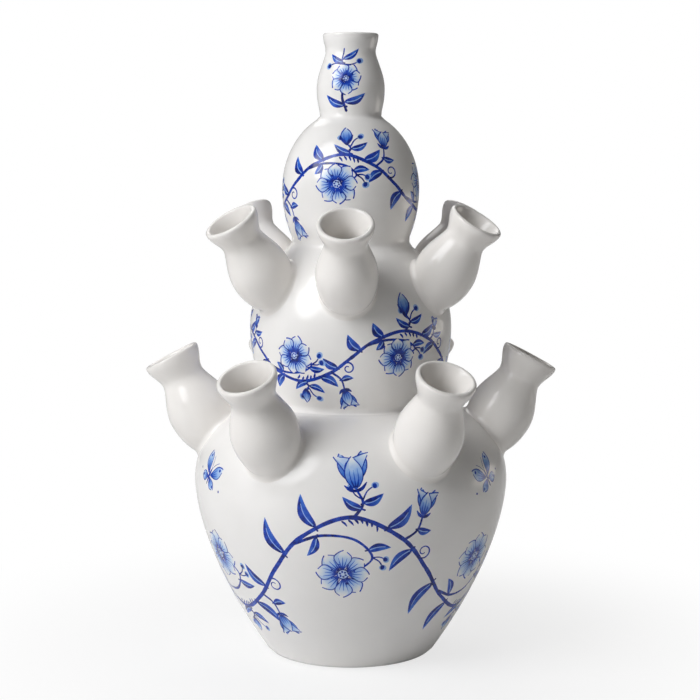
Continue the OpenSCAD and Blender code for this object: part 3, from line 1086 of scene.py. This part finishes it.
def glaze_finish(name, painted):
    """Clear glossy glaze over white porcelain, with the cobalt under it where a piece is painted."""
    finish = bpy.data.materials.new(name)
    finish.use_nodes = True
    tree = finish.node_tree
    link = tree.links.new
    shader = tree.nodes["Principled BSDF"]
    shader.inputs["IOR"].default_value = 1.52
    shader.inputs["Specular IOR Level"].default_value = 0.4
    place = new_node(tree, "ShaderNodeTexCoord").outputs["Object"]
    cloud = noise(tree, place, scale=28.0, detail=3.0)
    darkest, lightest = PAINTED_WHITES if painted else PLAIN_WHITES
    colour = colour_ramp(tree, cloud, ((0.3, darkest), (0.7, lightest)))
    if painted:
        colour = cobalt_decor(tree, place, colour)
    link(colour, shader.inputs["Base Color"])
    link(stretched(tree, cloud, {"To Min": 0.11, "To Max": 0.18}), shader.inputs["Roughness"])
    link(glaze_ripple(tree, place, TURNED_RIPPLE if painted else EVEN_RIPPLE), shader.inputs["Normal"])
    return finish


# Stage

# Camera fitted to the photograph: focal length and picture width in pixels, sensor in mm, place in metres
FOCAL_LENGTH = 1772.0
PICTURE_WIDTH = 700.0
SENSOR_WIDTH = 36.0
CAMERA_PLACE = (-0.0004, -1.0, 0.29634)
LOOK_DOWN = 7.06

# Share of the white background that the glaze mirrors
MIRRORED_WHITE = 0.25

# Floor: half its width and the stretch in which it turns white, in metres, and its white before that
FLOOR_REACH = 3.0
SHADE_START = 0.06
SHADE_END = 0.3
WHITE_AT_START = 0.75


def add_camera():
    camera_data = bpy.data.cameras.new("photo_camera")
    camera_data.sensor_width = SENSOR_WIDTH
    camera_data.lens = FOCAL_LENGTH / PICTURE_WIDTH * SENSOR_WIDTH
    camera_data.clip_end = 20.0
    camera = add_object("photo_camera", camera_data)
    camera.location = CAMERA_PLACE
    camera.rotation_euler = (math.radians(90 - LOOK_DOWN), 0, 0)
    bpy.context.scene.camera = camera


def add_softbox(name, place, target, width, height, power, tint=(1, 1, 1)):
    light = bpy.data.lights.new(name, "AREA")
    light.shape = "ELLIPSE"
    light.size = width
    light.size_y = height
    light.energy = power
    light.color = tint
    lamp = add_object(name, light)
    lamp.location = place
    lamp.rotation_euler = (Vector(target) - Vector(place)).to_track_quat("-Z", "Y").to_euler()


def white_background(tree, output, lit, fade=1.0):
    """Shows plain white to the camera, and partly to the glaze, over a shader that takes the light."""
    rays = new_node(tree, "ShaderNodeLightPath").outputs
    clear = maths(tree, "MAXIMUM", rays["Is Camera Ray"], rays["Is Transmission Ray"])
    mirrored = maths(tree, "MULTIPLY", rays["Is Glossy Ray"], MIRRORED_WHITE)
    share = maths(tree, "MULTIPLY", maths(tree, "MAXIMUM", clear, mirrored), fade)
    glow = new_node(tree, "ShaderNodeEmission")
    mix = new_node(tree, "ShaderNodeMixShader")
    tree.links.new(share, mix.inputs["Fac"])
    tree.links.new(lit, mix.inputs[1])
    tree.links.new(glow.outputs["Emission"], mix.inputs[2])
    tree.links.new(mix.outputs["Shader"], output)


def add_floor():
    bm = bmesh.new()
    bmesh.ops.create_grid(bm, x_segments=1, y_segments=1, size=FLOOR_REACH)
    floor = add_object("floor", mesh_from(bm, "floor"))
    paper = bpy.data.materials.new("white_paper")
    paper.use_nodes = True
    tree = paper.node_tree
    shader = tree.nodes["Principled BSDF"]
    shader.inputs["Base Color"].default_value = (0.9, 0.9, 0.9, 1)
    shader.inputs["Roughness"].default_value = 0.9
    coords = new_node(tree, "ShaderNodeTexCoord")
    reach = new_node(tree, "ShaderNodeVectorMath", operation="LENGTH")
    tree.links.new(coords.outputs["Object"], reach.inputs[0])
    ranges = {"From Min": SHADE_START, "From Max": SHADE_END, "To Min": WHITE_AT_START}
    fade = stretched(tree, reach.outputs["Value"], ranges, interpolation_type="SMOOTHSTEP")
    white_background(tree, tree.nodes["Material Output"].inputs["Surface"], shader.outputs["BSDF"], fade)
    floor.data.materials.append(paper)


def add_studio_air():
    world = bpy.data.worlds.new("studio_air")
    bpy.context.scene.world = world
    world.use_nodes = True
    tree = world.node_tree
    air = tree.nodes["Background"]
    air.inputs["Color"].default_value = (1.0, 0.95, 0.89, 1)
    air.inputs["Strength"].default_value = 0.03
    white_background(tree, tree.nodes["World Output"].inputs["Surface"], air.outputs["Background"])


add_camera()
painted_glaze = glaze_finish("painted_porcelain_glaze", True)
white_glaze = glaze_finish("white_porcelain_glaze", False)

for make, node in (
    (belly_piece, "lower_body"),
    (middle_piece, "middle_globe"),
    (upper_piece, "upper_globe"),
    (nozzle_piece, "top_nozzle"),
):
    section = make(painted_glaze)
    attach(section, "root")
    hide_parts(node)

spout_pieces(lower_ring, "lower", white_glaze)
spout_pieces(middle_ring, "middle", white_glaze)

add_floor()
add_studio_air()
add_softbox(
    "left_softbox", place=(-1.2, -0.9, 1.25), target=(0, 0, 0.18), width=1.2, height=1.6, power=28.2,
    tint=(0.975, 0.985, 1.0),
)
add_softbox("front_softbox", place=(-0.5, -1.1, 1.7), target=(0, 0, 0.2), width=1.0, height=1.0, power=2.1)
add_softbox(
    "back_softbox", place=(-0.2, 1.2, 1.5), target=(0, 0, 0.2), width=1.3, height=1.3, power=8.4,
    tint=(1.0, 0.985, 0.965),
)
add_softbox(
    "right_card", place=(0.9, 0.35, 0.12), target=(0, 0, 0.06), width=0.6, height=0.2, power=0.5,
    tint=(1.0, 0.94, 0.86),
)

bpy.context.scene.view_settings.view_transform = "Standard"
